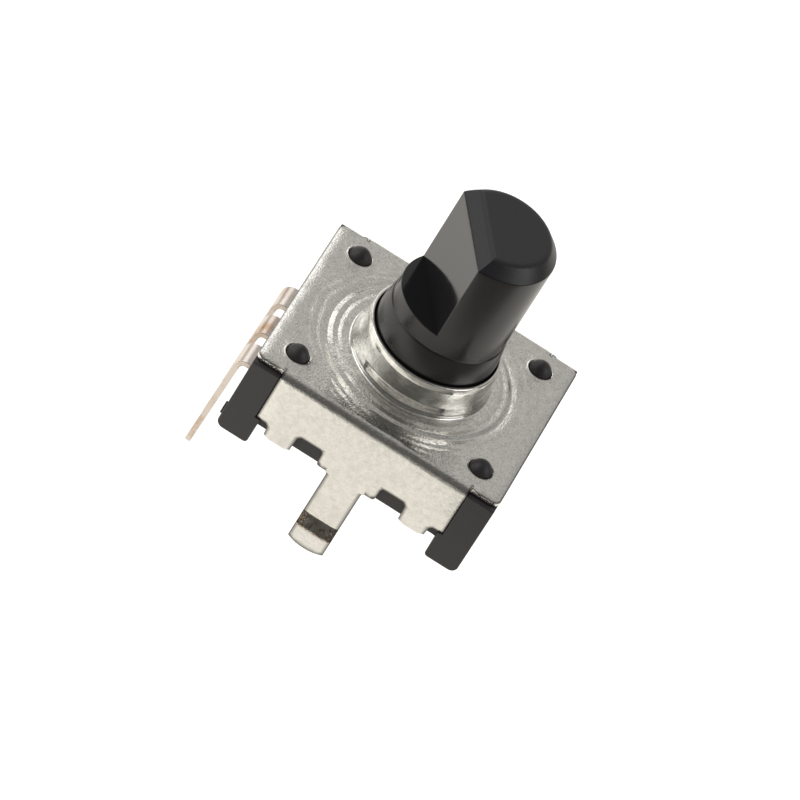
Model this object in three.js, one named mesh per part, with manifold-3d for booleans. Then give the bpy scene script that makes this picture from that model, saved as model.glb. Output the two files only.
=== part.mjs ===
// A board-mounted incremental rotary encoder of the 12 mm size, with a plastic D shaft.
// Millimetres, +Z up along the shaft. The origin is on the shaft's axis, in the plane of the board.
// The terminals leave on the -X side; the flanges and snap legs are on the -Y and +Y sides.

import * as THREE from "three";
import { mergeVertices } from "three/addons/utils/BufferGeometryUtils.js";
import Module from "manifold-3d";

const wasm = await Module();
wasm.setup();

// ---- Driving dimensions ----

const ROUND = 64; // sides of the shaft, collar and other large rounds
const SMALL_ROUND = 32; // sides of the stakes and their holes
const BEND_STEPS = 5; // steps in a quarter-turn bend
const FIT = 0.03; // gap between pieces that touch or are pressed together
const CLEAR = 1; // how far a cutter runs past the faces that it cuts

// Cover: steel sheet, drawn and folded
const SHEET = 0.33;
const PLATE_TOP = 4.97;
const PLATE_UNDER = PLATE_TOP - SHEET;
const PLATE_HALF_X = 6.8;
const PLATE_HALF_Y = 5.8;
const FLANGE_Y = 6.12; // outer face of each flange
const FLANGE_HALF_X = 5.25;
const FLANGE_BEND = 0.47; // outer radius
const FLANGE_BOTTOM = 1.74;
const RELIEF = 0.05; // width of the cut beside each flange
const RELIEF_DEPTH = 0.17;
const TAB_X = [3.05, 4.56];
const TAB_BOTTOM = 0.75;
const TAB_BEND = 0.4;
const TAB_LENGTH = 1.3;
const WINDOW_X = [1.66, 3.05];
const WINDOW_TOP = 2.1;
const LEG_ROOT_BOTTOM = 1.17;
const LEG_HALF_X = 0.98;
const LEG_KINK_TOP = -1.7;
const LEG_KINK_LOW = -2.3;
const LEG_KINK_OUT = 0.5;
const LEG_TIP = -3.82;
const LEG_TIP_SAG = 0.36; // how far the tip's arc bulges past its corners
const STAKE_AT = [5.16, 4.28];
const STAKE_HOLE_R = 0.63;

// Collar drawn up from the plate
const COLLAR_TOP = 7.0;
const COLLAR_BORE_R = 3.27;
const COLLAR_RIM_R = 3.46;
const COLLAR_FOOT_R = 3.64;
const COLLAR_FOOT_Z = 5.25;
const FOOT_FILLET = 0.2; // outside radius where the collar rises from the plate
const COLLAR_FILLET = 0.42; // inside radius where the bore flares into the plate
const STEP_R = [4.27, 4.72]; // the plate steps up between these radii
const STEP_H = 0.09;
const DRAWN_R = 5.3; // the drawn middle of the plate joins the flat rim here

// Housing: black moulding
const HOUSING_HALF_X = 6.78;
const HOUSING_HALF_Y = 5.76;
const HOUSING_TOP = PLATE_UNDER - 0.02;
const HOUSING_EDGE = 0.16; // chamfer that clears the inside of the flange bends
const WALL_BOTTOM = 1.1;
const FLOOR_TOP = 1.9;
const CAVITY_R = 5.35;
const EAR_Y = 6.1; // front face of each ear
const EAR_DEPTH = 1.85;
const EAR_STEP = [5.03, 5.29]; // inner edge below and above the flange's corner
const STAKE_R = 0.59;
const STAKE_SHOULDER = 4.92;
const STAKE_TIP = 5.52;
const PIVOT_BOSS_R = 2.4;
const PIVOT_FLOOR = 0.5;
const CORE = [3.2, 5.9, 3.6]; // under-floor core: near edge, far edge, half width
const CORE_DEPTH = 0.3;
const PIN_HOLE_R = 0.4; // left by the pins that held each terminal in the mould
const POCKET_X = [-5.1, -4.2]; // the pocket in the floor where the brushes are fixed
const POCKET_HALF_Y = 3.2;
const POCKET_TOP = 2.45;
const NUB = [[-6.88, -5.8, 0.5], [-6.58, -5.2, 0.9]]; // gate mark on one ear

// Shaft: black moulding
const SHAFT_R = 3.0;
const SHAFT_TOP = 14.9;
const SHAFT_CHAMFER = [0.6, 0.7]; // inward, downward
const FLAT_OFFSET = 1.5; // flat to axis: 4.5 mm across the D
const FLAT_BOTTOM = 9.5;
const FLAT_AZIMUTH = 210; // degrees; where the flat faces at rest, on a detent
const JOURNAL_R = 3.2;
const JOURNAL_Z = [7.3, 8.48, 8.53]; // the journal tapers from the first height and ends in a fine step
const JOURNAL_TOP_R = 3.06;
const KEY_R = 2.2;
const KEY_HALF = 1.6; // half across the two key flats
const PIVOT_R = 1.45;
const PIVOT_PLAY = 0.05; // running gap between the pivot and its hole

// Rotor, code plate and detent
const DETENTS = 24;
const HUB_R = 4.05;
const HUB_TOP = 4.24;
const DISC_R = 5.05;
const DISC_Z = [2.62, 3.4];
const RIDGE_R = [4.2, 4.95];
const RIDGE_H = 0.2;
const CODE_T = 0.16;
const CODE_RING_R = [2.4, 3.1];
const CODE_TOOTH_R = 4.9;
const WASHER_R = [3.32, 4.05];
const WASHER_T = 0.3;

// Click spring: a bowed ring clamped by two lugs
const SPRING_T = 0.12;
const SPRING_R = [4.2, 5.2];
const SPRING_BOW = 0.79; // how far the ring bows down between its lugs
const SPRING_RIB = 0.26; // depth of each formed rib
const SPRING_RIB_HALF = 4.5; // degrees either side of the rib's middle
const LUG_X = 6.2;
const LUG_HALF_Y = 0.8;
const LUG_LAP = 0.3; // how far a lug reaches in over the ring

// Terminals and brushes
const TERMINAL_NAMES = ["b", "c", "a"]; // from front to back
const TERMINAL_PITCH = 2.5;
const TERMINAL_T = 0.3;
const TERMINAL_TOP = 1.92;
const STUB_HALF_Y = 0.8;
const PIN_HALF_Y = 0.45;
const PAD_END_X = -4.55;
const PIN_TOP_X = -7.53; // outer face where the pin starts
const PIN_TIP_X = -7.71; // outer face at the tip
const PIN_TIP_Z = -4.9;
const TERMINAL_BEND = 0.55;
const STUB_CORNER = 0.35; // radius where the stub narrows to the pin
const TIP_TAPER = 0.6; // length of the tapered tip
const TIP_HALF_Y = 0.2;
const BRUSH_T = 0.1;
const BRUSH_FINGER = 0.28; // width of one finger
const BRUSH_GAP = 0.14; // slot between the two fingers
const COMMON_TRACK_R = 2.75;
const CODE_TRACK_R = 4.0;
const BRUSH_SPREAD = 5.25; // code teeth between brushes A and B: five whole ones and a quarter

const MATERIALS = {
  steel: { color: 0xb9b8b0, roughness: 0.32, metalness: 1 },
  housing: { color: 0x2b2929, roughness: 0.6, metalness: 0 },
  shaft: { color: 0x1c1b1d, roughness: 0.28, metalness: 0 },
  tinned: { color: 0xc8b9af, roughness: 0.35, metalness: 1 },
  bronze: { color: 0xc09060, roughness: 0.3, metalness: 1 },
  silvered: { color: 0xd5d2cc, roughness: 0.25, metalness: 1 },
  nylon: { color: 0xd9d5c8, roughness: 0.5, metalness: 0 },
};

// ---- Geometry helpers ----

// A closed three.js geometry as a solid that can be joined and cut.
function solid(geometry) {
  geometry.deleteAttribute("normal");
  geometry.deleteAttribute("uv");
  const merged = mergeVertices(geometry, 1e-4);
  const made = new wasm.Manifold(
    new wasm.Mesh({
      numProp: 3,
      vertProperties: merged.attributes.position.array,
      triVerts: new Uint32Array(merged.index.array),
    }),
  );
  if (made.volume() <= 0) throw new Error("a solid is inside out");
  return made;
}

// A solid as a mesh with its name and its own material.
function piece(name, made, finish) {
  const { numProp, vertProperties, triVerts } = made.getMesh();
  const xyz = new Float32Array((vertProperties.length / numProp) * 3);
  for (let i = 0; i < xyz.length / 3; i++)
    xyz.set(vertProperties.subarray(i * numProp, i * numProp + 3), i * 3);
  const geometry = new THREE.BufferGeometry();
  geometry.setAttribute("position", new THREE.BufferAttribute(xyz, 3));
  geometry.setIndex(new THREE.BufferAttribute(new Uint32Array(triVerts), 1));
  geometry.computeVertexNormals();
  const mesh = new THREE.Mesh(geometry, new THREE.MeshStandardMaterial(MATERIALS[finish]));
  mesh.name = name;
  return mesh;
}

// A profile of [radius, z] points turned about the Z axis. It closes on itself.
function turned(profile, sides = ROUND) {
  const points = [...profile, profile[0]].map(([r, z]) => new THREE.Vector2(r, z));
  return solid(new THREE.LatheGeometry(points, sides).rotateX(Math.PI / 2));
}

function shapeOf(outline) {
  return new THREE.Shape(outline.map(([u, v]) => new THREE.Vector2(u, v)));
}

// An [x, y] outline carried from one height to another.
function upright(outline, z0, z1) {
  const options = { depth: z1 - z0, bevelEnabled: false };
  return solid(new THREE.ExtrudeGeometry(shapeOf(outline), options).translate(0, 0, z0));
}

// A [y, z] outline carried along X.
function alongX(outline, x0, x1) {
  const geometry = new THREE.ExtrudeGeometry(shapeOf(outline), {
    depth: x1 - x0,
    bevelEnabled: false,
  });
  const turn = new THREE.Matrix4().makeBasis(
    new THREE.Vector3(0, 1, 0),
    new THREE.Vector3(0, 0, 1),
    new THREE.Vector3(1, 0, 0),
  );
  return solid(geometry.applyMatrix4(turn).translate(x0, 0, 0));
}

// An [x, z] outline carried along Y.
function alongY(outline, y0, y1) {
  const geometry = new THREE.ExtrudeGeometry(shapeOf(outline), {
    depth: y1 - y0,
    bevelEnabled: false,
  });
  const turn = new THREE.Matrix4().makeBasis(
    new THREE.Vector3(1, 0, 0),
    new THREE.Vector3(0, 0, 1),
    new THREE.Vector3(0, -1, 0),
  );
  return solid(geometry.applyMatrix4(turn).translate(0, y1, 0));
}

function box([x0, y0, z0], [x1, y1, z1]) {
  const geometry = new THREE.BoxGeometry(x1 - x0, y1 - y0, z1 - z0);
  return solid(geometry.translate((x0 + x1) / 2, (y0 + y1) / 2, (z0 + z1) / 2));
}

function disc(r, z0, z1, sides = ROUND) {
  return turned([[0, z0], [r, z0], [r, z1], [0, z1]], sides);
}

function union(solids) {
  return solids.reduce((whole, next) => whole.add(next));
}

function halfTurn(made) {
  return made.rotate([0, 0, 180]);
}

// A solid at one corner, and its mirror images at the other three.
function atCorners(made) {
  const pair = [made, made.mirror([1, 0, 0])];
  return [...pair, ...pair.map(halfTurn)];
}

function degrees(angle) {
  return (angle * Math.PI) / 180;
}

// Points on an arc, both ends included; angles in degrees.
function arc(centre, radius, from, to, steps = BEND_STEPS) {
  return Array.from({ length: steps + 1 }, (_, i) => {
    const angle = degrees(from + ((to - from) * i) / steps);
    return [centre[0] + radius * Math.cos(angle), centre[1] + radius * Math.sin(angle)];
  });
}

// The outline of a strip of even thickness whose left-hand side follows a polyline.
function strip(path, thickness) {
  const offset = path.map((point, i) => {
    const before = path[Math.max(i - 1, 0)];
    const after = path[Math.min(i + 1, path.length - 1)];
    const length = Math.hypot(after[0] - before[0], after[1] - before[1]);
    return [
      point[0] - ((after[1] - before[1]) / length) * thickness,
      point[1] + ((after[0] - before[0]) / length) * thickness,
    ];
  });
  return [...path, ...offset.reverse()];
}

// ---- Cover ----

// The flat plate, with a relief cut beside each end of a flange and a hole for each stake.
function plate() {
  const corner = 0.3;
  const [x, y] = [PLATE_HALF_X - corner, PLATE_HALF_Y - corner];
  const outline = [
    ...arc([x, y], corner, 0, 90),
    ...arc([-x, y], corner, 90, 180),
    ...arc([-x, -y], corner, 180, 270),
    ...arc([x, -y], corner, 270, 360),
  ];
  const [low, high] = [PLATE_UNDER - CLEAR, PLATE_TOP + CLEAR];
  const relief = box(
    [FLANGE_HALF_X, PLATE_HALF_Y - RELIEF_DEPTH, low],
    [FLANGE_HALF_X + RELIEF, PLATE_HALF_Y + CLEAR, high],
  );
  const hole = disc(STAKE_HOLE_R, low, high, SMALL_ROUND).translate([...STAKE_AT, 0]);
  const sill = FLANGE_Y - FLANGE_BEND;
  const trim = box([-FLANGE_HALF_X, sill, low], [FLANGE_HALF_X, sill + CLEAR, high]);
  const cuts = [...atCorners(relief.add(hole)), trim, halfTurn(trim)];
  return upright(outline, PLATE_UNDER, PLATE_TOP).subtract(union(cuts));
}

// The collar, its foot, and the low step in the plate round it.
function collar() {
  const rim = 0.08;
  const outside = DRAWN_R + 0.2; // laps into the plate
  return turned([
    [COLLAR_BORE_R, COLLAR_TOP - rim],
    ...arc([COLLAR_BORE_R + COLLAR_FILLET, PLATE_UNDER + COLLAR_FILLET], COLLAR_FILLET, 180, 270),
    [outside, PLATE_UNDER],
    [outside, PLATE_TOP],
    [STEP_R[1], PLATE_TOP],
    [STEP_R[0], PLATE_TOP + STEP_H],
    [COLLAR_FOOT_R + FOOT_FILLET, PLATE_TOP + STEP_H],
    [COLLAR_FOOT_R + FOOT_FILLET / 3, PLATE_TOP + STEP_H + FOOT_FILLET / 3],
    [COLLAR_FOOT_R, COLLAR_FOOT_Z],
    [COLLAR_RIM_R, COLLAR_TOP - rim],
    [COLLAR_RIM_R - rim, COLLAR_TOP],
    [COLLAR_BORE_R + rim / 2, COLLAR_TOP],
  ]);
}

// The bend from the plate into a flange, as a quarter ring section.
function flangeBend() {
  const centre = [-FLANGE_Y + FLANGE_BEND, PLATE_TOP - FLANGE_BEND];
  const outer = arc(centre, FLANGE_BEND, 90, 180);
  const inner = arc(centre, FLANGE_BEND - SHEET, 180, 90);
  return alongX([...outer, ...inner], -FLANGE_HALF_X, FLANGE_HALF_X);
}

// The flange's flat web, cut out for the tabs, windows and leg root.
function flangeWeb() {
  const corner = 0.12;
  const half = [
    [FLANGE_HALF_X, PLATE_TOP - FLANGE_BEND],
    [FLANGE_HALF_X, FLANGE_BOTTOM],
    [TAB_X[1], FLANGE_BOTTOM],
    [TAB_X[1], TAB_BOTTOM + TAB_BEND],
    [TAB_X[0], TAB_BOTTOM + TAB_BEND],
    [TAB_X[0], WINDOW_TOP],
    [WINDOW_X[0], WINDOW_TOP],
    [WINDOW_X[0], LEG_ROOT_BOTTOM + corner],
    [WINDOW_X[0] - corner, LEG_ROOT_BOTTOM],
    [LEG_HALF_X, LEG_ROOT_BOTTOM],
  ];
  const mirrored = half.map(([x, z]) => [-x, z]).reverse();
  return alongY([...mirrored, ...half], -FLANGE_Y, -FLANGE_Y + SHEET);
}

// A tab folded under the housing's wall.
function crimpTab(side) {
  const centre = [-FLANGE_Y + TAB_BEND, TAB_BOTTOM + TAB_BEND];
  const reach = -FLANGE_Y + TAB_LENGTH;
  const outline = [
    ...arc(centre, TAB_BEND, 180, 270),
    [reach, TAB_BOTTOM],
    [reach, TAB_BOTTOM + SHEET],
    ...arc(centre, TAB_BEND - SHEET, 270, 180),
  ];
  const [near, far] = side > 0 ? TAB_X : [-TAB_X[1], -TAB_X[0]];
  return alongX(outline, near, far);
}

// A snap leg: straight through the board, then out and back in to its rounded tip.
function snapLeg() {
  const inner = -FLANGE_Y + SHEET;
  const path = [
    [inner, LEG_TIP],
    [inner - LEG_KINK_OUT, LEG_KINK_LOW],
    [inner, LEG_KINK_TOP],
    [inner, LEG_ROOT_BOTTOM],
  ];
  const bent = alongX(strip(path, SHEET), -LEG_HALF_X, LEG_HALF_X);
  const round = (LEG_HALF_X ** 2 + LEG_TIP_SAG ** 2) / (2 * LEG_TIP_SAG);
  const spread = (Math.asin(LEG_HALF_X / round) * 180) / Math.PI;
  const face = [
    [LEG_HALF_X, WINDOW_TOP],
    [-LEG_HALF_X, WINDOW_TOP],
    ...arc([0, LEG_TIP + round], round, 270 - spread, 270 + spread, BEND_STEPS * 2),
  ];
  return bent.intersect(alongY(face, -FLANGE_Y - CLEAR, -FLANGE_Y + CLEAR));
}

function cover() {
  const fold = union([flangeBend(), flangeWeb(), crimpTab(-1), crimpTab(1), snapLeg()]);
  const sheet = union([plate(), fold, halfTurn(fold)]);
  const opened = sheet.subtract(disc(DRAWN_R, PLATE_UNDER - CLEAR, PLATE_TOP + CLEAR));
  return opened.add(collar());
}

// ---- Housing ----

// A stake: a round post whose head is a dome drawn out towards a cone.
function stake() {
  const pointed = 1.22; // 1 gives half an ellipse, 2 a cone
  const root = HOUSING_TOP - 0.5;
  const head = arc([0, 0], 1, 0, 80, 6).map(([across, rise]) => [
    STAKE_R * across ** pointed,
    STAKE_SHOULDER + (STAKE_TIP - STAKE_SHOULDER) * rise ** pointed,
  ]);
  return turned([[0, root], [STAKE_R, root], ...head, [0, STAKE_TIP]], SMALL_ROUND);
}

// An ear: the corner block that runs from the cover down to its foot on the board.
function ear() {
  const outer = 0.4;
  const inner = 0.18;
  const outline = [
    [EAR_STEP[1], HOUSING_TOP],
    [EAR_STEP[1], FLANGE_BOTTOM - FIT],
    [EAR_STEP[0], FLANGE_BOTTOM - FIT],
    ...arc([EAR_STEP[0] + inner, inner], inner, 180, 270, 3),
    ...arc([HOUSING_HALF_X - outer, outer], outer, 270, 360),
    [HOUSING_HALF_X, HOUSING_TOP],
  ];
  return alongY(outline, -EAR_Y, -EAR_Y + EAR_DEPTH);
}

// The space that a terminal fills where it crosses the housing's wall and floor.
function terminalSlot(y) {
  const top = TERMINAL_TOP + FIT;
  const low = TERMINAL_TOP - TERMINAL_T - FIT;
  const half = STUB_HALF_Y + FIT;
  return box([-HOUSING_HALF_X - CLEAR, y - half, low], [PAD_END_X + FIT, y + half, top]);
}

// Hollows under the floor: a shallow core each side of the boss, and a pin hole below each terminal.
function undersideCores() {
  const [near, far, half] = CORE;
  const core = box([near, -half, 0], [far, half, WALL_BOTTOM + CORE_DEPTH]);
  const pinHoles = TERMINAL_NAMES.map((_, i) => {
    const hole = disc(PIN_HOLE_R, 0, TERMINAL_TOP - TERMINAL_T, SMALL_ROUND);
    return hole.translate([-(near + far) / 2, (i - 1) * TERMINAL_PITCH, 0]);
  });
  return [core, halfTurn(core), ...pinHoles];
}

function housing() {
  const side = HOUSING_HALF_Y;
  const section = [
    [-side, WALL_BOTTOM],
    [side, WALL_BOTTOM],
    [side, HOUSING_TOP - HOUSING_EDGE],
    [side - HOUSING_EDGE, HOUSING_TOP],
    [-side + HOUSING_EDGE, HOUSING_TOP],
    [-side, HOUSING_TOP - HOUSING_EDGE],
  ];
  const block = alongX(section, -HOUSING_HALF_X, HOUSING_HALF_X);
  const boss = disc(PIVOT_BOSS_R, 0, FLOOR_TOP);
  const stakes = atCorners(stake().translate([...STAKE_AT, 0]));
  const whole = union([block, ...atCorners(ear()), boss, box(...NUB), ...stakes]);

  const cavity = disc(CAVITY_R, FLOOR_TOP, HOUSING_TOP + CLEAR);
  const pivotHole = disc(PIVOT_R + PIVOT_PLAY, PIVOT_FLOOR, HOUSING_TOP);
  const lugSeat = box(
    [-LUG_X - FIT, -LUG_HALF_Y - FIT, HOUSING_TOP - SPRING_T - FIT],
    [LUG_X + FIT, LUG_HALF_Y + FIT, HOUSING_TOP + CLEAR],
  );
  const slots = TERMINAL_NAMES.map((_, i) => terminalSlot((i - 1) * TERMINAL_PITCH));
  const brushPocket = box(
    [POCKET_X[0], -POCKET_HALF_Y, FLOOR_TOP],
    [POCKET_X[1], POCKET_HALF_Y, POCKET_TOP],
  );
  const inside = union([cavity, pivotHole, lugSeat, ...slots, brushPocket]);
  return whole.subtract(inside).subtract(union(undersideCores()));
}

// ---- Shaft and rotor ----

// The round body of the shaft, from its pivot to its chamfered end.
function shaftRound() {
  const keyTop = HUB_TOP + FIT;
  return turned([
    [0, PIVOT_FLOOR + FIT],
    [PIVOT_R, PIVOT_FLOOR + FIT],
    [PIVOT_R, DISC_Z[0]],
    [KEY_R, DISC_Z[0]],
    [KEY_R, keyTop],
    [JOURNAL_R, keyTop],
    [JOURNAL_R, JOURNAL_Z[0]],
    [JOURNAL_TOP_R, JOURNAL_Z[1]],
    [SHAFT_R, JOURNAL_Z[2]],
    [SHAFT_R, SHAFT_TOP - SHAFT_CHAMFER[1]],
    [SHAFT_R - SHAFT_CHAMFER[0], SHAFT_TOP],
    [0, SHAFT_TOP],
  ]);
}

// What is taken off for the D flat: a block, and a wedge that chamfers the flat's upper edge.
function flatCut() {
  const [inward, downward] = SHAFT_CHAMFER;
  const [outside, above] = [SHAFT_R + CLEAR, SHAFT_TOP + CLEAR];
  const block = box([FLAT_OFFSET, -outside, FLAT_BOTTOM], [outside, outside, above]);
  const wedge = alongY(
    [
      [FLAT_OFFSET - inward, SHAFT_TOP],
      [FLAT_OFFSET, SHAFT_TOP - downward],
      [outside, SHAFT_TOP - downward],
      [outside, above],
      [FLAT_OFFSET - inward, above],
    ],
    -outside,
    outside,
  );
  return block.add(wedge).rotate([0, 0, FLAT_AZIMUTH]);
}

// What lies outside a pair of key flats: one block on each side of the axis.
function keyFlats(half, z0, z1) {
  const outside = KEY_R + CLEAR;
  const flat = box([half, -outside, z0], [outside, outside, z1]);
  return flat.add(halfTurn(flat));
}

function shaft() {
  const key = keyFlats(KEY_HALF, DISC_Z[0] - FIT, HUB_TOP + FIT);
  return shaftRound().subtract(flatCut()).subtract(key);
}

// Radial ridges round the rotor: their height follows a raised cosine, one wave per detent.
function detentRing() {
  const steps = DETENTS * 6;
  const lap = 0.2; // sunk into the disc
  const base = DISC_Z[1] - lap;
  const ring = new THREE.CylinderGeometry(RIDGE_R[1], RIDGE_R[1], 1, steps, 1, false);
  ring.rotateX(Math.PI / 2);
  const at = ring.attributes.position;
  for (let i = 0; i < at.count; i++) {
    const upper = at.getZ(i) > 0;
    const radius = Math.hypot(at.getX(i), at.getY(i));
    const around = Math.atan2(at.getY(i), at.getX(i));
    const wave = radius > CLEAR ? (1 - Math.cos(DETENTS * around)) / 2 : 0;
    at.setZ(i, upper ? DISC_Z[1] + 0.01 + RIDGE_H * wave : base);
  }
  return solid(ring).subtract(disc(RIDGE_R[0], base - CLEAR, HUB_TOP));
}

function rotor() {
  const blank = turned([
    [0, DISC_Z[0]],
    [DISC_R, DISC_Z[0]],
    [DISC_R, DISC_Z[1]],
    [HUB_R, DISC_Z[1]],
    [HUB_R, HUB_TOP],
    [0, HUB_TOP],
  ]);
  const [low, high] = [DISC_Z[0] - CLEAR, HUB_TOP + CLEAR];
  const keyHole = disc(KEY_R + FIT, low, high).subtract(keyFlats(KEY_HALF + FIT, low, high));
  return blank.add(detentRing()).subtract(keyHole);
}

// The stamped comb: a common ring with one tooth for each pulse.
function codePlate() {
  const top = DISC_Z[0] - 0.02;
  const low = top - CODE_T;
  const pitch = 360 / DETENTS;
  const outline = [];
  for (let i = 0; i < DETENTS; i++) {
    const start = i * pitch - pitch / 4;
    outline.push(...arc([0, 0], CODE_TOOTH_R, start, start + pitch / 2, 2));
    outline.push(...arc([0, 0], CODE_RING_R[1], start + pitch / 2, start + pitch, 1));
  }
  return upright(outline, low, top).subtract(disc(CODE_RING_R[0], low - CLEAR, top + CLEAR));
}

function thrustWasher() {
  const low = HUB_TOP + FIT;
  const [inner, outer] = WASHER_R;
  const top = low + WASHER_T;
  return turned([[inner, low], [outer, low], [outer, top], [inner, top]]);
}

// ---- Click spring ----

// The height of the spring's underside at an angle round the ring, in degrees.
// It is highest at the lugs, bows down towards the front and back, and dips at each rib.
function springHeight(angle) {
  const bow = (SPRING_BOW * (1 - Math.cos(degrees(2 * angle)))) / 2;
  const fromRib = Math.abs(((angle % 180) + 180) % 180 - 90);
  const rib = fromRib < SPRING_RIB_HALF ? (1 + Math.cos((Math.PI * fromRib) / SPRING_RIB_HALF)) / 2 : 0;
  return HOUSING_TOP - SPRING_T - 0.01 - bow - SPRING_RIB * rib;
}

function clickSpring() {
  const steps = 120;
  const section = [[SPRING_R[0], 0], [SPRING_R[1], 0], [SPRING_R[1], SPRING_T], [SPRING_R[0], SPRING_T]];
  const ring = new THREE.LatheGeometry(
    [...section, section[0]].map(([r, z]) => new THREE.Vector2(r, z)),
    steps,
  ).rotateX(Math.PI / 2);
  const at = ring.attributes.position;
  for (let i = 0; i < at.count; i++) {
    const angle = (Math.atan2(at.getY(i), at.getX(i)) * 180) / Math.PI;
    at.setZ(i, at.getZ(i) + springHeight(angle));
  }
  const low = springHeight(0);
  const lug = box([SPRING_R[1] - LUG_LAP, -LUG_HALF_Y, low], [LUG_X, LUG_HALF_Y, low + SPRING_T]);
  return union([solid(ring), lug, halfTurn(lug)]);
}

// ---- Terminals and brushes ----

// A terminal: inner pad, stub through the wall, bend, and a narrower pin with a tapered tip.
function terminal(y) {
  const low = TERMINAL_TOP - TERMINAL_T;
  const bendX = PIN_TOP_X + TERMINAL_BEND;
  const outer = arc([bendX, TERMINAL_TOP - TERMINAL_BEND], TERMINAL_BEND, 90, 180);
  const inner = arc([bendX, TERMINAL_TOP - TERMINAL_BEND], TERMINAL_BEND - TERMINAL_T, 180, 90);
  const side = alongY(
    [
      [PAD_END_X, low],
      [PAD_END_X, TERMINAL_TOP],
      ...outer,
      [PIN_TIP_X, PIN_TIP_Z],
      [PIN_TIP_X + TERMINAL_T, PIN_TIP_Z],
      ...inner,
    ].reverse(),
    -STUB_HALF_Y,
    STUB_HALF_Y,
  );
  const shoulder = TERMINAL_TOP - TERMINAL_BEND - 0.1;
  const cornerZ = shoulder - STUB_CORNER;
  const face = [
    [STUB_HALF_Y, TERMINAL_TOP + CLEAR],
    [-STUB_HALF_Y, TERMINAL_TOP + CLEAR],
    [-STUB_HALF_Y, shoulder],
    ...arc([-STUB_HALF_Y, cornerZ], STUB_CORNER, 90, 0, 3),
    [-PIN_HALF_Y, PIN_TIP_Z + TIP_TAPER],
    [-TIP_HALF_Y, PIN_TIP_Z],
    [TIP_HALF_Y, PIN_TIP_Z],
    [PIN_HALF_Y, PIN_TIP_Z + TIP_TAPER],
    ...arc([STUB_HALF_Y, cornerZ], STUB_CORNER, 180, 90, 3),
    [STUB_HALF_Y, shoulder],
  ];
  return side.intersect(alongX(face, PIN_TIP_X - CLEAR, 0)).translate([0, y, 0]);
}

// A brush: a flat base on the terminal's pad and two fingers that rise to a rounded contact.
function brush(contactX, contactY) {
  const baseZ = TERMINAL_TOP + 0.01;
  const contactZ = DISC_Z[0] - CODE_T - 0.04 - BRUSH_T;
  const path = [
    [PAD_END_X - 0.45, baseZ],
    [PAD_END_X + 0.15, baseZ],
    [contactX - 0.3, contactZ - 0.12],
    [contactX - 0.1, contactZ],
    [contactX + 0.1, contactZ],
    [contactX + 0.35, contactZ - 0.14],
  ];
  const half = BRUSH_FINGER + BRUSH_GAP / 2;
  const whole = alongY(strip(path, BRUSH_T), -half, half);
  const slot = box([PAD_END_X + 0.2, -BRUSH_GAP / 2, 0], [0, BRUSH_GAP / 2, DISC_Z[0]]);
  return whole.subtract(slot).translate([0, contactY, 0]);
}

// Where each brush meets its track: C on the common ring, A and B a quarter tooth apart on the teeth.
function contactOf(name) {
  if (name === "c") return [-COMMON_TRACK_R, 0];
  const angle = degrees((BRUSH_SPREAD / 2) * (360 / DETENTS));
  const side = name === "a" ? 1 : -1;
  return [-CODE_TRACK_R * Math.cos(angle), side * CODE_TRACK_R * Math.sin(angle)];
}

// ---- Assembly ----

const encoder = new THREE.Group();
encoder.name = "encoder";

const fixed = new THREE.Group();
fixed.add(piece("cover", cover(), "steel"));
fixed.add(piece("housing", housing(), "housing"));
fixed.add(piece("click_spring", clickSpring(), "bronze"));
TERMINAL_NAMES.forEach((name, i) => {
  const y = (i - 1) * TERMINAL_PITCH;
  fixed.add(piece(`terminal_${name}`, terminal(y), "tinned"));
  fixed.add(piece(`brush_${name}`, brush(...contactOf(name)), "silvered"));
});

const turning = new THREE.Group();
turning.add(piece("shaft", shaft(), "shaft"));
turning.add(piece("rotor", rotor(), "nylon"));
turning.add(piece("code_plate", codePlate(), "silvered"));
turning.add(piece("thrust_washer", thrustWasher(), "nylon"));

encoder.add(fixed, turning);
export default encoder;
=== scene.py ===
import math

import bmesh
import bpy
import numpy as np
from mathutils import Matrix, Vector
from mathutils.geometry import delaunay_2d_cdt


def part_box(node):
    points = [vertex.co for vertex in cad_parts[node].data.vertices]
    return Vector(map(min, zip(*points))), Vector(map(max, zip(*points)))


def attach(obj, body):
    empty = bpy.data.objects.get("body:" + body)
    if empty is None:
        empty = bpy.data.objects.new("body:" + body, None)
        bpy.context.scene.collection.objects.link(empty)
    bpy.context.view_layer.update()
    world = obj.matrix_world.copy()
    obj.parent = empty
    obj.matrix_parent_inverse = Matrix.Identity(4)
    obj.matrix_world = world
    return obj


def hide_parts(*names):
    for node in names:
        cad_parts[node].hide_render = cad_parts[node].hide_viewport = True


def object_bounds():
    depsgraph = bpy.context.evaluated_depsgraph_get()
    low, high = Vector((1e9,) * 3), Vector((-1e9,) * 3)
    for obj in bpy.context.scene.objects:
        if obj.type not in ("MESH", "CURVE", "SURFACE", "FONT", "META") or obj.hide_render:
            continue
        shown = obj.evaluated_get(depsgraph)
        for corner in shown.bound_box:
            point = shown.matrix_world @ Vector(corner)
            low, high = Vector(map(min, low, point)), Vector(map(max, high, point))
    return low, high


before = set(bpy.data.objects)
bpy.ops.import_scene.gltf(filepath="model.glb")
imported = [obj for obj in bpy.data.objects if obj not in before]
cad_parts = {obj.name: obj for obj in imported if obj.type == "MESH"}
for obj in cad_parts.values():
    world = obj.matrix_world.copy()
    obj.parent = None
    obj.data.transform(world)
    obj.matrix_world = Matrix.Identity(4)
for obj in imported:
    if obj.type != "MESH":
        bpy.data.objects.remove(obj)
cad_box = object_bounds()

# ---------------------------------------------------------------------------
# Camera. A long lens 420 mm from the encoder, looking down at it from the front,
# and turned about its own axis so that the encoder leans to the right.

MM = 0.001

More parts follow.
